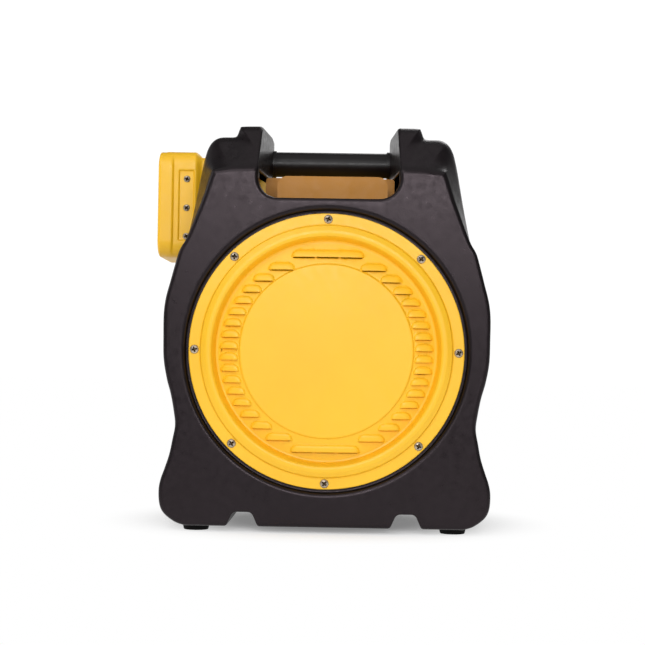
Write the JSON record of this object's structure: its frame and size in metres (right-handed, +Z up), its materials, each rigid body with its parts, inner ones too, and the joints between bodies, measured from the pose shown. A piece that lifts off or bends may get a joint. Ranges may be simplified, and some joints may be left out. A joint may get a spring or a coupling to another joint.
{
  "type": "centrifugal blower",
  "caption": "Portable carry blower with a black moulded frame, handle bar, round yellow louvred intake covers and a square side outlet; impeller, motor, switch and reset button inside",
  "frame": {"origin": "on the floor, midway between the feet, under the shaft, on the joint between the front and rear frame halves", "axes": "+Z up; the front cover faces -Y; the outlet points to -X"},
  "size_m": [0.4115, 0.3465, 0.4899],
  "materials": {
    "frame_black": "fine moulded grain, satin",
    "grip_black": "smooth, semi-gloss",
    "casing_yellow": "smooth moulded, satin",
    "box_ochre": "powder-coated sheet",
    "zinc_steel": "zinc plated",
    "brass": "turned",
    "bearing_steel": "ground",
    "cast_aluminium": "as cast",
    "motor_paint": "baked enamel",
    "core_steel": "stacked laminations",
    "copper_wire": "varnished winding",
    "capacitor_case": "moulded can",
    "terminal_plastic": "moulded",
    "control_black": "moulded",
    "rocker_red": "moulded",
    "foot_rubber": "moulded rubber",
    "impeller_aluminium": "pressed sheet"
  },
  "bodies": {
    "housing": {"front_frame_face": "frame_black", "front_frame_band": "frame_black", "front_frame_posts": "frame_black", "rear_frame_band": "frame_black", "rear_frame_face": "frame_black", "rear_frame_posts": "frame_black", "frame_tie_bolts": "zinc_steel", "frame_inserts": "brass", "handle_grip": "grip_black", "handle_rod": "zinc_steel", "handle_nuts": "zinc_steel", "front_cover": "casing_yellow", "rear_cover": "casing_yellow", "front_cover_screws": "zinc_steel", "rear_cover_screws": "zinc_steel", "scroll_front": "casing_yellow", "scroll_rear": "casing_yellow", "scroll_screws": "zinc_steel", "inlet_bellmouth": "casing_yellow", "bellmouth_screws": "zinc_steel", "outlet_nozzle": "casing_yellow", "outlet_grille": "zinc_steel", "nozzle_screws": "zinc_steel", "bearing_outers": "bearing_steel", "motor_front_bracket": "cast_aluminium", "motor_rear_bracket": "cast_aluminium", "motor_housing": "motor_paint", "stator_core": "core_steel", "stator_winding": "copper_wire", "motor_through_bolts": "zinc_steel", "motor_bolt_nuts": "zinc_steel", "box_brackets": "box_ochre", "capacitor_box": "box_ochre", "capacitor_box_lid": "box_ochre", "terminal_box": "box_ochre", "terminal_box_lid": "box_ochre", "capacitor": "capacitor_case", "capacitor_clamp": "zinc_steel", "terminal_block": "terminal_plastic", "terminal_screws": "brass", "switch_body": "control_black", "breaker_body": "control_black", "power_inlet": "control_black", "inlet_pins": "brass", "inlet_screws": "zinc_steel", "rubber_feet": "foot_rubber", "foot_screws": "zinc_steel"},
    "rotor": {"impeller_backplate": "impeller_aluminium", "impeller_shroud": "impeller_aluminium", "impeller_blades": "impeller_aluminium", "impeller_hub": "impeller_aluminium", "hub_rivets": "impeller_aluminium", "hub_nut": "zinc_steel", "motor_shaft": "zinc_steel", "rotor_core": "core_steel", "cooling_fan": "control_black", "bearing_inners": "bearing_steel", "bearing_balls": "bearing_steel"},
    "rocker": {"switch_rocker": "rocker_red"},
    "reset_button": {"breaker_button": "rocker_red"}
  },
  "joints": [
    {"name": "impeller_spin", "type": "hinge", "parent": "housing", "child": "rotor", "pos_m": [0, 0, 0.216], "axis": [0, 1, 0], "continuous": true},
    {"name": "switch_rock", "type": "hinge", "parent": "housing", "child": "rocker", "pos_m": [-0.191, -0.06, 0.2445], "axis": [0, 0, 1], "range_deg": [0, 16]},
    {"name": "reset_press", "type": "slide", "parent": "housing", "child": "reset_button", "axis": [1, 0, 0], "range_m": [0, 0.0012], "stiffness_N_per_m": 60}
  ]
}
